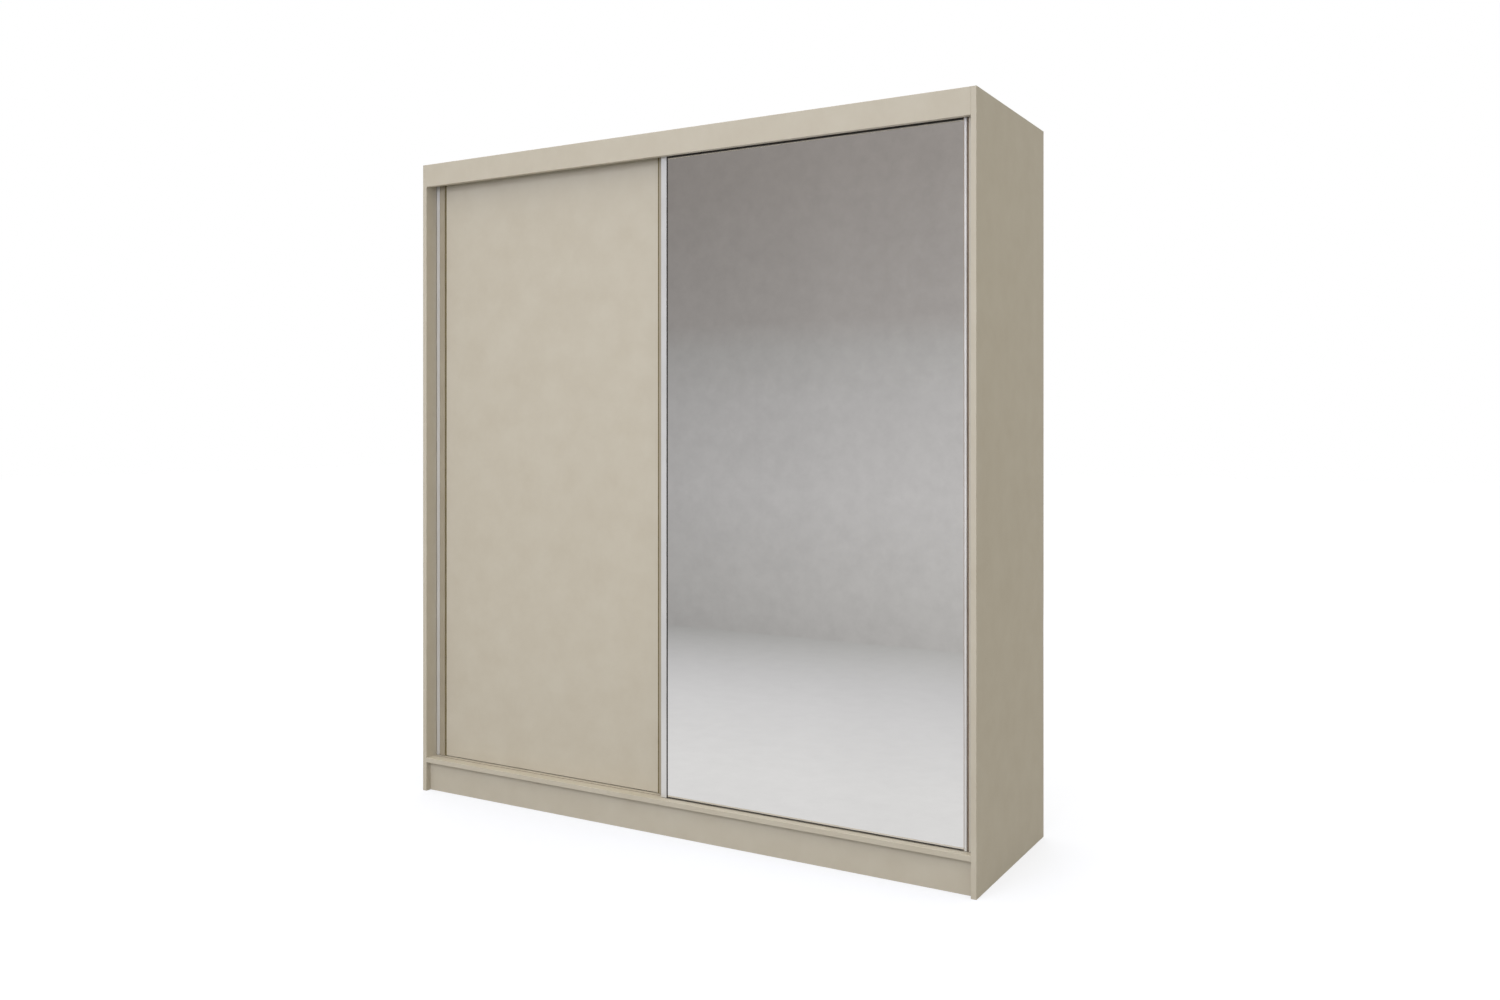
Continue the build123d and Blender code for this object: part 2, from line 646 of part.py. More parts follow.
def track_stop(side, x_end, y_lane):
    """Rubber stop for a door that ends at x_end: it fills a channel, with a round nose to the rollers."""
    half = track_channel / 2 - STOP_CLEARANCE
    x_nose = side * (x_end - stop_inset)
    x_body = x_nose + side * STOP_NOSE
    z_high = z_ceiling - TRACK_PLATE - STOP_CLEARANCE
    body = slab((x_body, x_body + side * STOP_LENGTH), (y_lane - half, y_lane + half), (z_lip_top, z_high))
    return body + rod((x_nose, y_lane, z_axle), (side, 0, 0), STOP_NOSE_RADIUS, STOP_NOSE)


# Carcass
parts["side_left"] = side_panel(-1)
parts["side_right"] = side_panel(1)
parts["top_panel"] = top_panel()
parts["bottom_panel"] = bottom_panel()
parts["pelmet"] = cross_board(y_front, (z_pelmet, HEIGHT), True)
parts["plinth_front"] = cross_board(y_plinth, (0, PLINTH_HEIGHT), False)
parts["plinth_rear"] = cross_board(y_rear_plinth, (0, PLINTH_HEIGHT), False)
parts["plinth_centre"] = slab((-BOARD / 2, BOARD / 2), (y_plinth + BOARD, y_rear_plinth), (0, PLINTH_HEIGHT))
parts["centre_partition"] = partition()
parts["back_left"] = back_panel(-1)
parts["back_right"] = back_panel(1)
parts["cam_locks"], parts["cam_bolts"] = cams_and_bolts()
parts["dowels"] = dowels()
parts["wall_bracket_left"] = wall_bracket(-1)
parts["wall_bracket_right"] = wall_bracket(1)

# Interior
for number, level in enumerate(shelf_levels, start=1):
    parts[f"shelf_left_{number}"] = shelf(-1, level)
parts["shelf_right"] = shelf(1, shelf_levels[-1])
parts["shelf_pins"] = shelf_pins()
parts["hanging_rail"] = hanging_rail()
parts["rail_sockets"] = group([rail_socket(BOARD / 2, 1), rail_socket(x_in, -1)])

# Running gear on the carcass
parts["top_track"] = top_track()
left_stops = [track_stop(-1, x_door_end, y) for y in lanes]
right_stops = [track_stop(1, x_mirror_end, y_mirror_lane), track_stop(1, x_door_end, y_plain_lane)]
parts["track_stops"] = group([*left_stops, *right_stops])
parts["guide_channel_front"] = guide_channel(y_mirror_lane)
parts["guide_channel_rear"] = guide_channel(y_plain_lane)

# Plain door
y_plain_face = y_plain_door + wide_front
parts["plain_panel"] = door_board(plain_span, WIDE_WIDTH - WIDE_SLOT, y_plain_face, PLAIN_BOARD)
wide_stiles = both_edges(wide_section(), plain_span, y_plain_door)
parts["plain_stile_left"], parts["plain_stile_right"] = wide_stiles
inlays = both_edges(inlay_section(), plain_span, y_plain_door)
parts["plain_inlay_left"], parts["plain_inlay_right"] = inlays
parts["plain_gaskets"] = group(both_edges(plain_gasket_section(), plain_span, y_plain_door))
parts["plain_edge_brush"] = edge_brush(plain_span[0], -1, DOOR_SIDE_GAP, y_plain_lane)

# Mirror door
slim_seat = SLIM_WIDTH - SLIM_SLOT
parts["mirror_pane"] = door_board(mirror_span, slim_seat, y_mirror_face, MIRROR_GLASS)
parts["mirror_board"] = door_board(mirror_span, slim_seat, y_mirror_face + MIRROR_GLASS, MIRROR_BOARD)
parts["mirror_stile_left"] = upright(slim_section(False), mirror_span[0], 1, y_mirror_door)
parts["mirror_stile_right"] = upright(slim_section(True), mirror_span[1], -1, y_mirror_door)
upright_beads = both_edges(bead_section(), mirror_span, y_mirror_door)
foot_bead = cross_bead((z_door_bottom, z_door_bottom + BEAD_FOOT))
head_bead = cross_bead((z_pelmet - BEAD_DROP, z_door_top))
groove_strip = upright(groove_strip_section(), mirror_span[1], -1, y_mirror_door)
parts["mirror_gaskets"] = group([*upright_beads, foot_bead, head_bead, groove_strip])
parts["mirror_edge_brush"] = edge_brush(mirror_span[1], 1, CLOSING_GAP, y_mirror_lane)
parts["mirror_overlap_brush"] = overlap_brush()

# Hangers, axles, rollers and guide shoes of both doors
section_of_roller = roller_section()
for door, span, y_lane, board in (
    ("plain", plain_span, y_plain_lane, PLAIN_BOARD),
    ("mirror", mirror_span, y_mirror_lane, MIRROR_BOARD),
):
    places = {"left": span[0] + HANGER_INSET, "right": span[1] - HANGER_INSET}
    for end, x in places.items():
        parts[f"{door}_hanger_{end}"] = hanger(x, y_lane, board)
        parts[f"{door}_rollers_{end}"] = roller_pair(x, y_lane)
    parts[f"{door}_axles"] = group([axle(x, y_lane) for x in places.values()])
    parts[f"{door}_guide_shoes"] = group([guide_shoe(x, y_lane) for x in places.values()])

os.makedirs("parts", exist_ok=True)
for name, solid in parts.items():
    export_step(solid, f"parts/{name}.step")
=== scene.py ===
import json
import math

import bmesh
import bpy
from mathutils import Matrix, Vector

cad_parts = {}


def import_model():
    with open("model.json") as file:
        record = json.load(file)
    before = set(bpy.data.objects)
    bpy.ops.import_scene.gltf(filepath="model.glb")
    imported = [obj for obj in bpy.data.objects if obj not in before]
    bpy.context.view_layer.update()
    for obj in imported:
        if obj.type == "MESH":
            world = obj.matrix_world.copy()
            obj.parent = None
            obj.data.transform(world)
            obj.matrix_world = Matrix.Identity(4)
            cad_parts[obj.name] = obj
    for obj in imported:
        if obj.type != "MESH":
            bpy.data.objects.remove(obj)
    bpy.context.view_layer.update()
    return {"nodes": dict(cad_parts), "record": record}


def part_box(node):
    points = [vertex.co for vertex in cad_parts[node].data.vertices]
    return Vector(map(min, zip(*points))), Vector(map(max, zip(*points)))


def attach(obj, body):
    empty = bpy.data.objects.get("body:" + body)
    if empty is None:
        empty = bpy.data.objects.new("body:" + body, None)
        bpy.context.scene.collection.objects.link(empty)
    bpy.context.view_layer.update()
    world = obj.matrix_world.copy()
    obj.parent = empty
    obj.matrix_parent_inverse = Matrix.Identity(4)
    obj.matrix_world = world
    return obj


# Looks of the sliding door wardrobe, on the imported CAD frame. Metres, +Z up, doors face -Y.

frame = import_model()
nodes = frame["nodes"]

# Camera: level, in front of the object and to its right, with its picture shifted down
CAMERA_PLACE = (2.142, -3.472, 1.25)
CAMERA_TURN = math.radians(30.31)
CAMERA_LEVEL = math.radians(90.0)
CAMERA_SENSOR = 36.0
CAMERA_LENS = 30.01
CAMERA_SHIFT = (0.0037, -0.0476)

# Light on the object: a soft sky, brightest straight above, a broad key from the front and a fill behind
SKY = (1.47, 1.4, 1.24)
HORIZON_SHARE = 0.1
LAMP_COLOUR = (0.85, 0.88, 1.0)
LAMP_SIZE = (3.2, 2.2)
LAMP_TARGET = (0.1, 0.0, 0.9)
KEY_POWER = 102.0
KEY_PLACE = (0.0, -4.5, 2.5)
FILL_POWER = 60.0
FILL_PLACE = (-0.6, 4.8, 2.3)

# Studio that only reflections see: a wall behind the camera and the floor before it.
# Each tone is (place in metres, colour levels from 0 to 255).
WALL_PLACE = -3.7
WALL_HALF_WIDTH = 9.0
WALL_HEIGHT = 4.0
WALL_TONES = (
    (0.0, (165, 163, 161)),
    (0.3, (172, 170, 168)),
    (0.85, (178, 176, 175)),
    (1.4, (171, 169, 168)),
    (1.72, (160, 158, 156)),
    (1.9, (151, 147, 144)),
    (2.8, (141, 136, 132)),
)
WALL_GAIN = (0.86, 1.10)
WALL_GAIN_SPAN = (-2.3, -0.3)
FLOOR_TONES = (
    (-3.7, (166, 165, 163)),
    (-2.6, (191, 190, 190)),
    (-2.0, (203, 202, 202)),
    (-1.0, (214, 213, 212)),
)
FLOOR_FADE = (-3.7, -2.0)
MOTTLE_SCALE = 11.0
MOTTLE_DETAIL = 5.0
MOTTLE_ROUGHNESS = 0.75
WALL_MOTTLE = 0.12
FLOOR_MOTTLE = 0.06
MIRROR_SHARE = 0.9

# Floor: for the camera, its own glow and the share of light in which the shadow shows.
# For the object, the share of light that it throws back.
FLOOR_HALF = 30.0
FLOOR_GLOW = 0.6
FLOOR_SHADE = (0.395, 0.415, 0.47)
FLOOR_BOUNCE = 0.38

# Small fasteners: round heads, made of rings at these shares of the radius
HEAD_RINGS = (0.12, 0.24, 0.36, 0.48, 0.6, 0.72, 0.86, 0.96, 1.0)
HEAD_POINTS = 32
HEAD_DOME = 0.9
HEAD_SHARP_ANGLE = math.radians(40.0)
SCREW_RADIUS = 0.0034
SCREW_RISE = 0.0013
CROSS_HALF_WIDTH = 0.00055
CROSS_REACH = 0.0019
CROSS_DEPTH = 0.0009
CROSS_TAPER = 0.6
NAIL_RADIUS = 0.0026
NAIL_RISE = 0.0006
NAIL_PITCH = 0.15
BOARD_HALF = 0.008
SOCKET_SCREW_OFFSET = 0.024
SOCKET_FLANGE = 0.003
BRACKET_SCREW_OFFSET = 0.012
BRACKET_STEEL = 0.002
HANGER_SCREW_OFFSET = 0.028
HANGER_STEEL = 0.003
TRACK_PLATE = 0.002
TRACK_SCREW_PITCH = 0.39
TRACK_SCREWS = 5

# Closing profile: its outer lip, which gets a laminate tone as painted shade, and the bead beside it, which
# gets the strip's pale tone as painted light
OUTER_LIP = 0.0066
CLOSING_BEAD = 0.0016
CHANGE_HALF_WIDTH = 0.0001

# Edges of pieces: where the turn of a rounded surface counts as full edge and as none
EDGE_TURN = (0.75, 0.99)
EDGE_SAMPLES = 4


def linear(level):
    """A colour level from 0 to 255 as light."""
    share = level / 255.0
    return share / 12.92 if share <= 0.04045 else ((share + 0.055) / 1.055) ** 2.4


def colour(red, green, blue):
    return (linear(red), linear(green), linear(blue), 1.0)


# Named tones, finishes and line directions of the materials
WHITE = (1.0, 1.0, 1.0, 1.0)
UPRIGHT = (1.0, 1.0, 0.01)
LENGTHWISE = (0.01, 1.0, 1.0)
SILVER = colour(232, 232, 231)
SILVER_DEEP = colour(218, 218, 217)
SILVER_EDGE = colour(244, 244, 242)
SATIN = 0.36
METAL_SHARE = 0.45
# Painted shade on the closing profile's outer lip: a laminate tone and its roughness
PAINTED_LIP_SHADE = colour(194, 188, 175)
PAINTED_LIP_ROUGHNESS = 0.55
# Painted light: a pale tone that lifts the shade on the strip and bead in the closing groove
PAINTED_GROOVE_LIGHT = colour(160, 141, 122)


class Shader:
    """A node material whose patterns are measured in metres on the piece itself."""

    def __init__(self, name):
        self.material = bpy.data.materials.new(name)
        self.material.use_nodes = True
        self.tree = self.material.node_tree
        self.surface = self.tree.nodes["Principled BSDF"]

    def add(self, kind, inputs, **settings):
        node = self.tree.nodes.new("ShaderNode" + kind)
        for key, value in settings.items():
            setattr(node, key, value)
        for key, value in inputs.items():
            self.feed(node, key, value)
        return node

    def feed(self, node, key, value):
        """Links a socket to an input, or sets the input's own value."""
        if isinstance(value, bpy.types.NodeSocket):
            self.tree.links.new(value, node.inputs[key])
        else:
            node.inputs[key].default_value = value

    def place(self, stretch=(1.0, 1.0, 1.0)):
        """Object coordinates, stretched along an axis where its factor is small."""
        spot = self.add("TexCoord", {}).outputs["Object"]
        return self.add("Mapping", {"Vector": spot, "Scale": stretch}).outputs["Vector"]

    def noise(self, scale, detail, stretch=(1.0, 1.0, 1.0), rough=0.5):
        inputs = {"Vector": self.place(stretch), "Scale": scale, "Detail": detail, "Roughness": rough}
        return self.add("TexNoise", inputs).outputs[0]

    def cells(self, scale):
        return self.add("TexVoronoi", {"Vector": self.place(), "Scale": scale}).outputs["Color"]

    def ramp(self, factor, *stops):
        """Colours at places from 0 to 1 along a factor."""
        node = self.add("ValToRGB", {"Fac": factor})
        bar = node.color_ramp
        while len(bar.elements) < len(stops):
            bar.elements.new(1.0)
        for element, (place, tint) in zip(bar.elements, stops):
            element.position = place
            element.color = tint
        return node.outputs["Color"]

    def span(self, value, low, high, source=(0.0, 1.0)):
        inputs = {"Value": value, "From Min": source[0], "From Max": source[1], "To Min": low, "To Max": high}
        return self.add("MapRange", inputs).outputs["Result"]

    def beyond(self, x):
        """0 before a place along X and 1 past it."""
        side = self.add("SeparateXYZ", {"Vector": self.place()}).outputs["X"]
        return self.span(side, 0.0, 1.0, source=(x - CHANGE_HALF_WIDTH, x + CHANGE_HALF_WIDTH))

    def blend(self, factor, first, second):
        return self.add("MixRGB", {"Fac": factor, "Color1": first, "Color2": second}).outputs["Color"]

    def edge(self, radius, strength):
        """Share from 0 to strength that rises on the sharp edges of a piece."""
        soft = self.add("Bevel", {"Radius": radius}, samples=EDGE_SAMPLES).outputs["Normal"]
        true = self.add("NewGeometry", {}).outputs["Normal"]
        turn = self.add("VectorMath", {0: soft, 1: true}, operation="DOT_PRODUCT").outputs["Value"]
        return self.span(turn, strength, 0.0, source=EDGE_TURN)

    def bump(self, height, depth, strength):
        node = self.add("Bump", {"Height": height, "Distance": depth, "Strength": strength})
        self.feed(self.surface, "Normal", node.outputs["Normal"])

    def finish(self, **inputs):
        for key, value in inputs.items():
            self.feed(self.surface, key.replace("_", " "), value)
        return self.material


def laminate(name, pale, deep, worn):
    """Matt melamine: soft clouds in the print, a fine embossed grain and paler worn edges."""
    s = Shader(name)
    clouds = s.noise(11.0, detail=4.0, rough=0.6)
    grain = s.noise(850.0, detail=2.0)
    fleck = s.noise(240.0, detail=3.0)
    print_tone = s.ramp(clouds, (0.3, deep), (0.7, pale))
    flecked = s.blend(s.span(fleck, 0.0, 0.07, source=(0.45, 0.7)), print_tone, deep)
    s.bump(grain, 0.00012, 0.35)
    return s.finish(
        Base_Color=s.blend(s.edge(0.0016, 0.30), flecked, worn),
        Roughness=s.span(grain, 0.48, 0.62),
        Specular_IOR_Level=0.35,
    )


def fibreboard():
    """Thin back sheet: pressed fibres under a pale paint."""
    s = Shader("fibreboard")
    fibres = s.noise(160.0, detail=5.0, stretch=(1.0, 1.0, 0.25), rough=0.65)
    clouds = s.noise(5.0, detail=3.0)
    tone = s.ramp(clouds, (0.3, colour(190, 179, 157)), (0.7, colour(197, 186, 165)))
    s.bump(fibres, 0.00025, 0.4)
    return s.finish(
        Base_Color=s.blend(s.span(fibres, 0.0, 0.25, source=(0.45, 0.75)), tone, colour(158, 140, 112)),
        Roughness=s.span(fibres, 0.66, 0.82),
        Specular_IOR_Level=0.25,
    )


def beech():
    """Raw beech dowel: fine grain along its length with short dark rays."""
    s = Shader("beech")
    grain = s.noise(900.0, detail=3.0, stretch=(0.06, 1.0, 1.0))
    rays = s.noise(600.0, detail=1.0, stretch=(0.2, 1.0, 1.0))
    tone = s.ramp(grain, (0.3, colour(196, 152, 104)), (0.7, colour(222, 184, 138)))
    s.bump(grain, 0.0001, 0.4)
    return s.finish(
        Base_Color=s.blend(s.span(rays, 0.0, 0.5, source=(0.6, 0.75)), tone, colour(150, 104, 66)),
        Roughness=s.span(grain, 0.55, 0.75),
    )


def anodised(name, stretch, painted_shade_from=None):
    """Satin anodised aluminium: fine drawn lines along one axis under a hazy skin, brighter on edges.
    From painted_shade_from on along X, it is painted with a matt laminate tone that stands for shade."""
    s = Shader(name)
    lines = s.noise(1400.0, detail=3.0, stretch=stretch)
    drift = s.noise(6.0, detail=2.0)
    tone = s.ramp(drift, (0.3, SILVER_DEEP), (0.7, SILVER))
    lined = s.blend(s.span(lines, 0.0, 0.22, source=(0.4, 0.75)), tone, SILVER_DEEP)
    s.bump(lines, 0.00004, 0.3)
    skin = s.blend(s.edge(0.0008, 0.35), lined, SILVER_EDGE)
    if painted_shade_from is None:
        rough = s.span(lines, SATIN - 0.06, SATIN + 0.08)
        return s.finish(Base_Color=skin, Metallic=METAL_SHARE, Roughness=rough)
    # Painted shade: past this place along X the lip takes the laminate tone instead of the metal
    painted_shade = s.beyond(painted_shade_from)
    return s.finish(
        Base_Color=s.blend(painted_shade, skin, PAINTED_LIP_SHADE),
        Metallic=s.span(painted_shade, METAL_SHARE, 0.0),
        Roughness=s.span(painted_shade, SATIN, PAINTED_LIP_ROUGHNESS),
    )


def mirror_glass():
    """Silvered glass: a clear reflection with a trace of haze where it was wiped."""
    s = Shader("mirror_glass")
    wiped = s.noise(3.0, detail=4.0, stretch=(1.0, 1.0, 0.35))
    tone = s.ramp(wiped, (0.35, colour(243, 243, 243)), (0.7, colour(246, 246, 246)))
    return s.finish(Base_Color=tone, Metallic=1.0, Roughness=s.span(wiped, 0.012, 0.028))


def rubber(name, pale, deep, painted_light_from=None):
    """Dark extruded rubber with a dull bloom. From painted_light_from on along X, its tone is paler: painted
    light.
    """
    s = Shader(name)
    bloom = s.noise(60.0, detail=4.0)
    skin = s.noise(1500.0, detail=2.0)
    tone = s.ramp(bloom, (0.35, deep), (0.7, pale))
    if painted_light_from is not None:
        # Painted light: paler past this place along X
        tone = s.blend(s.beyond(painted_light_from), tone, PAINTED_GROOVE_LIGHT)
    s.bump(skin, 0.00008, 0.4)
    return s.finish(
        Base_Color=tone,
        Roughness=s.span(skin, 0.55, 0.78),
        Specular_IOR_Level=0.3,
    )


def pile():
    """Woven pile strip: upright tufts with dark gaps."""
    s = Shader("pile")
    tufts = s.noise(1100.0, detail=3.0, stretch=(0.35, 0.35, 1.0))
    clumps = s.noise(220.0, detail=2.0)
    tone = s.ramp(tufts, (0.35, colour(112, 106, 94)), (0.65, colour(184, 176, 160)))
    s.bump(tufts, 0.0006, 0.8)
    return s.finish(
        Base_Color=s.blend(s.span(clumps, 0.0, 0.4, source=(0.5, 0.8)), tone, colour(84, 80, 72)),
        Roughness=0.95,
        Sheen_Weight=0.35,
        Specular_IOR_Level=0.1,
    )


def zinc():
    """Zinc plated steel: small spangles and handling marks."""
    s = Shader("zinc_steel")
    spangle = s.cells(420.0)
    marks = s.noise(90.0, detail=5.0, rough=0.7)
    tone = s.ramp(spangle, (0.2, colour(182, 184, 186)), (0.8, colour(214, 215, 214)))
    s.bump(marks, 0.00008, 0.35)
    return s.finish(
        Base_Color=s.blend(s.edge(0.0005, 0.4), tone, colour(232, 232, 230)),
        Metallic=1.0,
        Roughness=s.span(marks, 0.26, 0.48),
    )


def chrome():
    """Chromed tube with faint rub marks along it from hangers."""
    s = Shader("chrome")
    rub = s.noise(700.0, detail=3.0, stretch=(0.04, 1.0, 1.0))
    tone = s.ramp(rub, (0.3, colour(228, 229, 231)), (0.7, colour(240, 240, 240)))
    s.bump(rub, 0.00001, 0.2)
    return s.finish(Base_Color=tone, Metallic=1.0, Roughness=s.span(rub, 0.05, 0.16, source=(0.4, 0.8)))


def die_cast():
    """Die cast zinc: grainy grey metal with paler rubbed edges."""
    s = Shader("die_cast")
    grain = s.noise(1300.0, detail=3.0)
    clouds = s.noise(120.0, detail=3.0)
    tone = s.ramp(clouds, (0.3, colour(176, 177, 179)), (0.7, colour(196, 197, 198)))
    s.bump(grain, 0.0001, 0.4)
    return s.finish(
        Base_Color=s.blend(s.edge(0.0006, 0.5), tone, colour(224, 224, 222)),
        Metallic=0.85,
        Roughness=s.span(grain, 0.36, 0.56),
    )


def moulded(name, pale, deep):
    """Moulded plastic: an even tone with a fine spark-eroded skin."""
    s = Shader(name)
    skin = s.noise(1800.0, detail=2.0)
    clouds = s.noise(70.0, detail=3.0)
    s.bump(skin, 0.00006, 0.35)
    tone = s.ramp(clouds, (0.3, deep), (0.7, pale))
    return s.finish(
        Base_Color=s.blend(s.edge(0.0005, 0.25), tone, pale),
        Roughness=s.span(skin, 0.38, 0.54),
    )


closing_low, closing_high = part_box("mirror_stile_right")

finishes = {
    "laminate": laminate("laminate", colour(200, 193, 177), colour(195, 187, 170), colour(210, 204, 191)),
    # The inlay's darker tone is partly its own print and partly painted shade of the recess beside it
    "inlay": laminate("inlay", colour(169, 160, 141), colour(161, 151, 132), colour(182, 173, 156)),
    "fibreboard": fibreboard(),
    "beech": beech(),
    "aluminium": anodised("aluminium", UPRIGHT),
    "mirror": mirror_glass(),
    # From the closing profile's bead on, the gasket is painted paler as painted light in the groove
    "gasket": rubber("gasket", colour(58, 52, 46), colour(38, 34, 30), closing_low.x - CLOSING_BEAD),
    "olive_gasket": rubber("olive_gasket", colour(118, 104, 62), colour(98, 86, 47)),
    "brush": pile(),
    "zinc_steel": zinc(),
    "chrome": chrome(),
    "die_cast": die_cast(),
    "nylon": moulded("nylon", colour(232, 230, 224), colour(222, 219, 211)),
    "shoe_nylon": moulded("shoe_nylon", colour(84, 80, 74), colour(72, 68, 62)),
    "guide_plastic": moulded("guide_plastic", colour(184, 174, 156), colour(172, 162, 143)),
    "stop_rubber": rubber("stop_rubber", colour(52, 52, 52), colour(34, 34, 34)),
}
track_metal = anodised("track_metal", LENGTHWISE)
# The closing profile's outer lip gets painted shade in a laminate tone
closing_metal = anodised("closing_profile", UPRIGHT, closing_high.x - OUTER_LIP)


def dress(obj, material):
    obj.data.materials.clear()
    obj.data.materials.append(material)


for row in frame["record"]["subparts"]:
    dress(nodes[row["node"]], finishes[row["material_slot"]])
dress(nodes["top_track"], track_metal)
dress(nodes["mirror_stile_right"], closing_metal)


def add_head(mesh, place, outward, radius, rise, cross):
    """Adds a domed round head to a mesh. With cross, a cross recess is pressed into its top."""
    up = Vector(outward).normalized()
    side = up.orthogonal().normalized()
    third = up.cross(side)

    def point(share, angle):
        u = radius * share * math.cos(angle)
        v = radius * share * math.sin(angle)
        height = rise * math.sqrt(max(0.0, 1.0 - HEAD_DOME * share**2))
        reach = max(abs(u), abs(v))
        if cross and min(abs(u), abs(v)) < CROSS_HALF_WIDTH and reach < CROSS_REACH:
            height -= CROSS_DEPTH * (1.0 - CROSS_TAPER * reach / CROSS_REACH)
        return Vector(place) + side * u + third * v + up * height

    turns = [2.0 * math.pi * (i + 0.5) / HEAD_POINTS for i in range(HEAD_POINTS)]
    loops = [[mesh.verts.new(point(share, turn)) for turn in turns] for share in HEAD_RINGS]
    foot = [mesh.verts.new(vert.co - up * (vert.co - Vector(place)).dot(up)) for vert in loops[-1]]
    loops.append(foot)
    middle = mesh.verts.new(point(0.0, 0.0))
    for i in range(HEAD_POINTS):
        after = (i + 1) % HEAD_POINTS
        mesh.faces.new((middle, loops[0][i], loops[0][after]))
        for inner, outer in zip(loops, loops[1:]):
            mesh.faces.new((inner[i], outer[i], outer[after], inner[after]))
    mesh.faces.new(list(reversed(foot)))


def heads(name, body, spots, radius, rise, cross):
    """One riding piece with a head at each (place, outward direction)."""
    mesh = bmesh.new()
    for place, outward in spots:
        add_head(mesh, place, outward, radius, rise, cross)
    bmesh.ops.recalc_face_normals(mesh, faces=mesh.faces)
    data = bpy.data.meshes.new(name)
    mesh.to_mesh(data)
    mesh.free()
    data.shade_smooth()
    data.set_sharp_from_angle(angle=HEAD_SHARP_ANGLE)
    piece = bpy.data.objects.new(name, data)
    bpy.context.scene.collection.objects.link(piece)
    dress(piece, finishes["zinc_steel"])
    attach(piece, body)


def middle_of(node):
    low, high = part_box(node)
    return (low + high) / 2


def carcass_screw_spots():
    """Screws of the rail sockets, wall brackets and track."""
    spots = []
    low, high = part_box("rail_sockets")
    rail = middle_of("hanging_rail")
    for x, out in ((low.x + SOCKET_FLANGE, 1), (high.x - SOCKET_FLANGE, -1)):
        for way in (-1, 1):
            spots.append(((x, rail.y + way * SOCKET_SCREW_OFFSET, rail.z), (out, 0, 0)))
    for side in ("left", "right"):
        low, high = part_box("wall_bracket_" + side)
        for way in (-1, 1):
            x = (low.x + high.x) / 2 + way * BRACKET_SCREW_OFFSET
            spots.append(((x, (low.y + high.y) / 2, high.z - BRACKET_STEEL), (0, 0, -1)))
    z_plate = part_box("top_track")[1].z - TRACK_PLATE
    for lane in ("plain_axles", "mirror_axles"):
        for i in range(TRACK_SCREWS):
            x = (i - (TRACK_SCREWS - 1) / 2) * TRACK_SCREW_PITCH
            spots.append(((x, middle_of(lane).y, z_plate), (0, 0, -1)))
    return spots


def hanger_screw_spots(door):
    """Screws in the feet of a door's two hangers."""
    spots = []
    for end in ("left", "right"):
        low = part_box(f"{door}_hanger_{end}")[0]
        centre = middle_of(f"{door}_hanger_{end}")
        for way in (-1, 1):
            spots.append(((centre.x + way * HANGER_SCREW_OFFSET, centre.y, low.z + HANGER_STEEL), (0, 0, 1)))
    return spots


def evenly(low, high, pitch):
    """Places from low to high, about a pitch apart."""
    steps = max(1, round((high - low) / pitch))
    return [low + (high - low) * i / steps for i in range(steps + 1)]


def nail_spots():
    """Nails round each back sheet, into the boards behind its edges."""
    spots = []
    z_low = middle_of("bottom_panel").z
    z_high = middle_of("top_panel").z
    for side, sign in (("left", -1), ("right", 1)):
        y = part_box("back_" + side)[1].y
        x_outer = middle_of("side_" + side).x
        x_inner = sign * BOARD_HALF / 2
        for z in evenly(z_low, z_high, NAIL_PITCH):
            spots += [((x, y, z), (0, 1, 0)) for x in (x_outer, x_inner)]
        for x in evenly(x_outer, x_inner, NAIL_PITCH)[1:-1]:
            spots += [((x, y, z), (0, 1, 0)) for z in (z_low, z_high)]
    return spots


heads("carcass_screws", "carcass", carcass_screw_spots(), SCREW_RADIUS, SCREW_RISE, True)
heads("plain_door_screws", "plain_door", hanger_screw_spots("plain"), SCREW_RADIUS, SCREW_RISE, True)
heads("mirror_door_screws", "mirror_door", hanger_screw_spots("mirror"), SCREW_RADIUS, SCREW_RISE, True)
heads("back_nails", "carcass", nail_spots(), NAIL_RADIUS, NAIL_RISE, False)


def stage_plane(name, corners, material):
    """A flat backdrop that isn't part of the object."""
    data = bpy.data.meshes.new(name)
    data.from_pydata(corners, [], [tuple(range(len(corners)))])
    plane = bpy.data.objects.new(name, data)
    bpy.context.scene.collection.objects.link(plane)
    dress(plane, material)
    return plane


def studio_tone(s, axis, tones):
    """Emission colour that follows tones along an axis, before the mirror's own loss."""
    low, high = tones[0][0], tones[-1][0]
    spot = s.add("SeparateXYZ", {"Vector": s.place()}).outputs[axis]
    stops = []
    for place, levels in tones:
        light = [linear(level) / MIRROR_SHARE for level in levels]
        stops.append(((place - low) / (high - low), (*light, 1.0)))
    return s.ramp(s.span(spot, 0.0, 1.0, source=(low, high)), *stops)


def wall_gain(s):
    """The wall's brightness, which grows along X."""
    side = s.add("SeparateXYZ", {"Vector": s.place()}).outputs["X"]
    return s.span(side, *WALL_GAIN, source=WALL_GAIN_SPAN)


def floor_gain(s):
    """The wall's gain where the floor meets it, fading out towards the mirror."""
    depth = s.add("SeparateXYZ", {"Vector": s.place()}).outputs["Y"]
    return s.span(depth, wall_gain(s), 1.0, source=FLOOR_FADE)


def uneven(s, gain, depth):
    """A gain with the faint mottling of a plastered room."""
    clouds = s.noise(MOTTLE_SCALE, detail=MOTTLE_DETAIL, rough=MOTTLE_ROUGHNESS)
    mottle = s.span(clouds, 1.0 - depth, 1.0 + depth)
    return s.add("Math", {0: gain, 1: mottle}, operation="MULTIPLY").outputs[0]


def wall_material():
    """Glowing wall with tones that follow its height."""
    s = Shader("studio_wall")
    strength = uneven(s, wall_gain(s), WALL_MOTTLE)
    glow = s.add("Emission", {"Color": studio_tone(s, "Z", WALL_TONES), "Strength": strength})
    s.feed(s.tree.nodes["Material Output"], "Surface", glow.outputs[0])
    return s.material


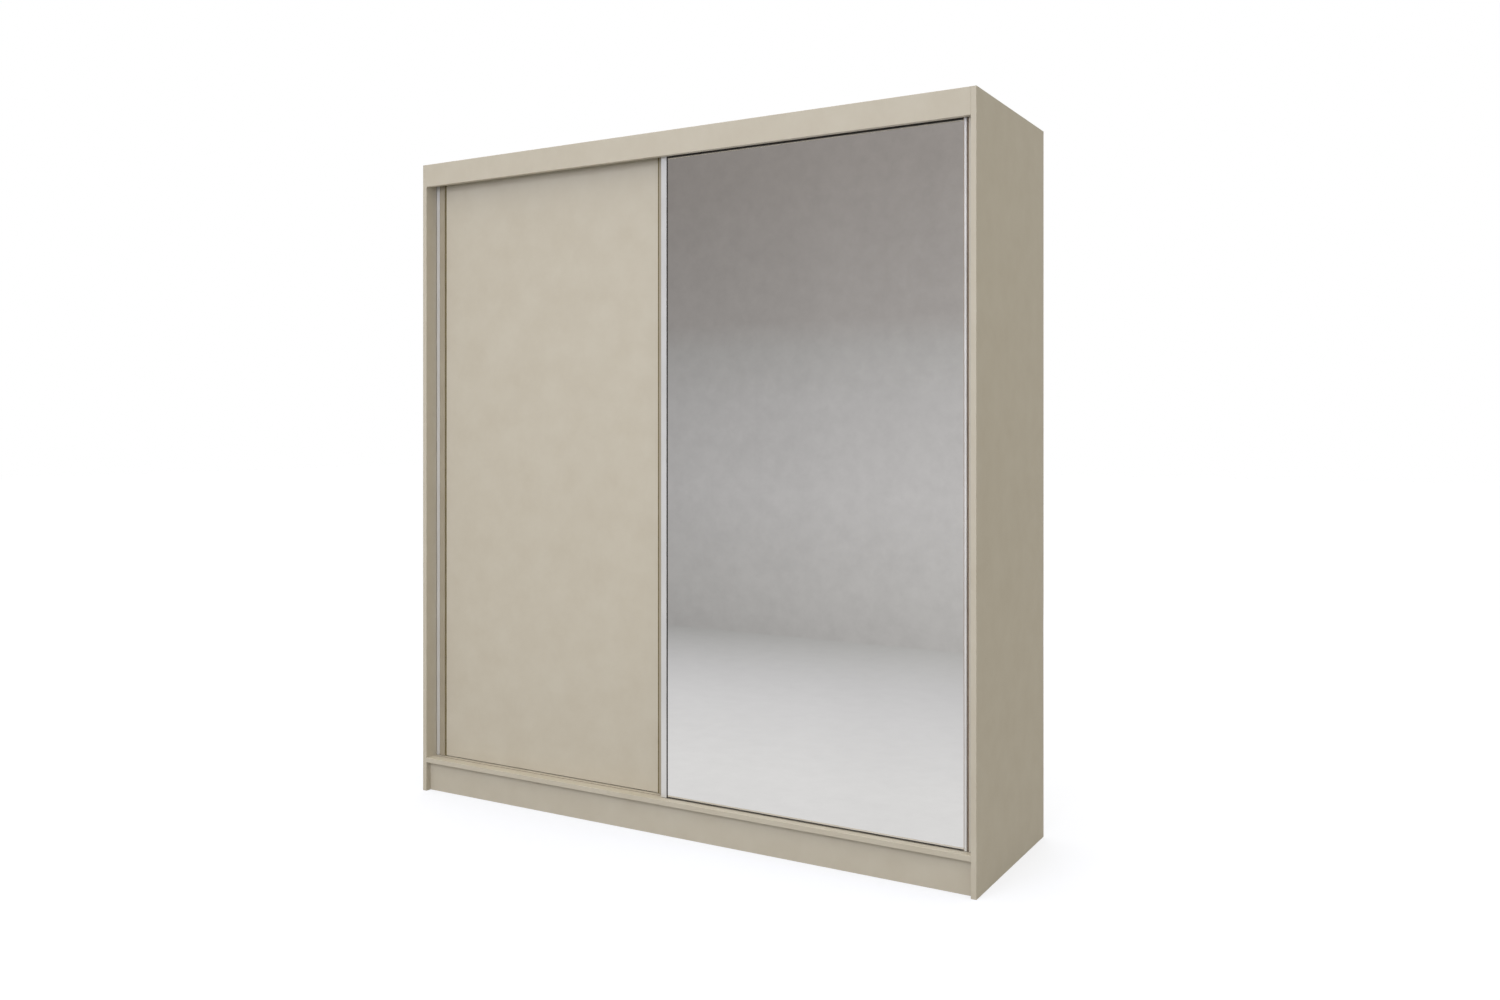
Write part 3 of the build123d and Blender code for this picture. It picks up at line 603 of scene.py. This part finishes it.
def floor_material():
    """White to the camera with the object's shadow, toned to reflections, pale to other light."""
    s = Shader("studio_floor")
    path = s.add("LightPath", {})
    white = s.add("Emission", {"Color": WHITE, "Strength": FLOOR_GLOW}).outputs[0]
    shade = s.add("BsdfDiffuse", {"Color": (*FLOOR_SHADE, 1.0)}).outputs[0]
    seen = s.add("AddShader", {0: white, 1: shade}).outputs[0]
    bounce = s.add("BsdfDiffuse", {"Color": (FLOOR_BOUNCE, FLOOR_BOUNCE, FLOOR_BOUNCE, 1.0)}).outputs[0]
    strength = uneven(s, floor_gain(s), FLOOR_MOTTLE)
    toned = s.add("Emission", {"Color": studio_tone(s, "Y", FLOOR_TONES), "Strength": strength}).outputs[0]
    plain = s.add("MixShader", {0: path.outputs["Is Glossy Ray"], 1: bounce, 2: toned}).outputs[0]
    whole = s.add("MixShader", {0: path.outputs["Is Camera Ray"], 1: plain, 2: seen}).outputs[0]
    s.feed(s.tree.nodes["Material Output"], "Surface", whole)
    return s.material


def studio():
    """The floor, and the wall that nothing but reflections shows."""
    reach = FLOOR_HALF
    floor = [(-reach, -reach, 0), (reach, -reach, 0), (reach, reach, 0), (-reach, reach, 0)]
    stage_plane("studio_floor", floor, floor_material())
    half = WALL_HALF_WIDTH
    ends = [(-half, 0), (half, 0), (half, WALL_HEIGHT), (-half, WALL_HEIGHT)]
    wall = stage_plane("studio_wall", [(x, WALL_PLACE, z) for x, z in ends], wall_material())
    wall.visible_camera = False
    wall.visible_diffuse = False
    wall.visible_transmission = False
    wall.visible_volume_scatter = False
    wall.visible_shadow = False


def world():
    """White to the camera and to reflections, and to the rest a sky that fades from the zenith down."""
    sky = bpy.data.worlds.new("studio")
    sky.use_nodes = True
    bpy.context.scene.world = sky
    tree = sky.node_tree
    dome = tree.nodes["Background"]
    dome.inputs["Color"].default_value = (*SKY, 1.0)
    way = tree.nodes.new("ShaderNodeTexCoord")
    parts = tree.nodes.new("ShaderNodeSeparateXYZ")
    rise = tree.nodes.new("ShaderNodeMapRange")
    rise.inputs["To Min"].default_value = HORIZON_SHARE
    tree.links.new(way.outputs["Generated"], parts.inputs[0])
    tree.links.new(parts.outputs["Z"], rise.inputs["Value"])
    tree.links.new(rise.outputs["Result"], dome.inputs["Strength"])
    white = tree.nodes.new("ShaderNodeBackground")
    white.inputs["Color"].default_value = WHITE
    path = tree.nodes.new("ShaderNodeLightPath")
    shown = path.outputs["Is Camera Ray"]
    for ray in ("Is Glossy Ray", "Is Transmission Ray"):
        either = tree.nodes.new("ShaderNodeMath")
        either.operation = "MAXIMUM"
        tree.links.new(shown, either.inputs[0])
        tree.links.new(path.outputs[ray], either.inputs[1])
        shown = either.outputs[0]
    mix = tree.nodes.new("ShaderNodeMixShader")
    tree.links.new(shown, mix.inputs[0])
    tree.links.new(dome.outputs[0], mix.inputs[1])
    tree.links.new(white.outputs[0], mix.inputs[2])
    tree.links.new(mix.outputs[0], tree.nodes["World Output"].inputs["Surface"])


def area_lamp(name, power, place):
    lamp = bpy.data.lights.new(name, "AREA")
    lamp.shape = "RECTANGLE"
    lamp.size, lamp.size_y = LAMP_SIZE
    lamp.energy = power
    lamp.color = LAMP_COLOUR
    stand = bpy.data.objects.new(name, lamp)
    stand.location = place
    stand.rotation_euler = (Vector(LAMP_TARGET) - Vector(place)).to_track_quat("-Z", "Y").to_euler()
    bpy.context.scene.collection.objects.link(stand)


def camera():
    data = bpy.data.cameras.new("camera")
    data.sensor_width = CAMERA_SENSOR
    data.lens = CAMERA_LENS
    data.shift_x, data.shift_y = CAMERA_SHIFT
    eye = bpy.data.objects.new("camera", data)
    eye.location = CAMERA_PLACE
    eye.rotation_euler = (CAMERA_LEVEL, 0.0, CAMERA_TURN)
    bpy.context.scene.collection.objects.link(eye)
    bpy.context.scene.camera = eye


studio()
world()
area_lamp("key", KEY_POWER, KEY_PLACE)
area_lamp("fill", FILL_POWER, FILL_PLACE)
camera()
bpy.context.scene.view_settings.view_transform = "Standard"
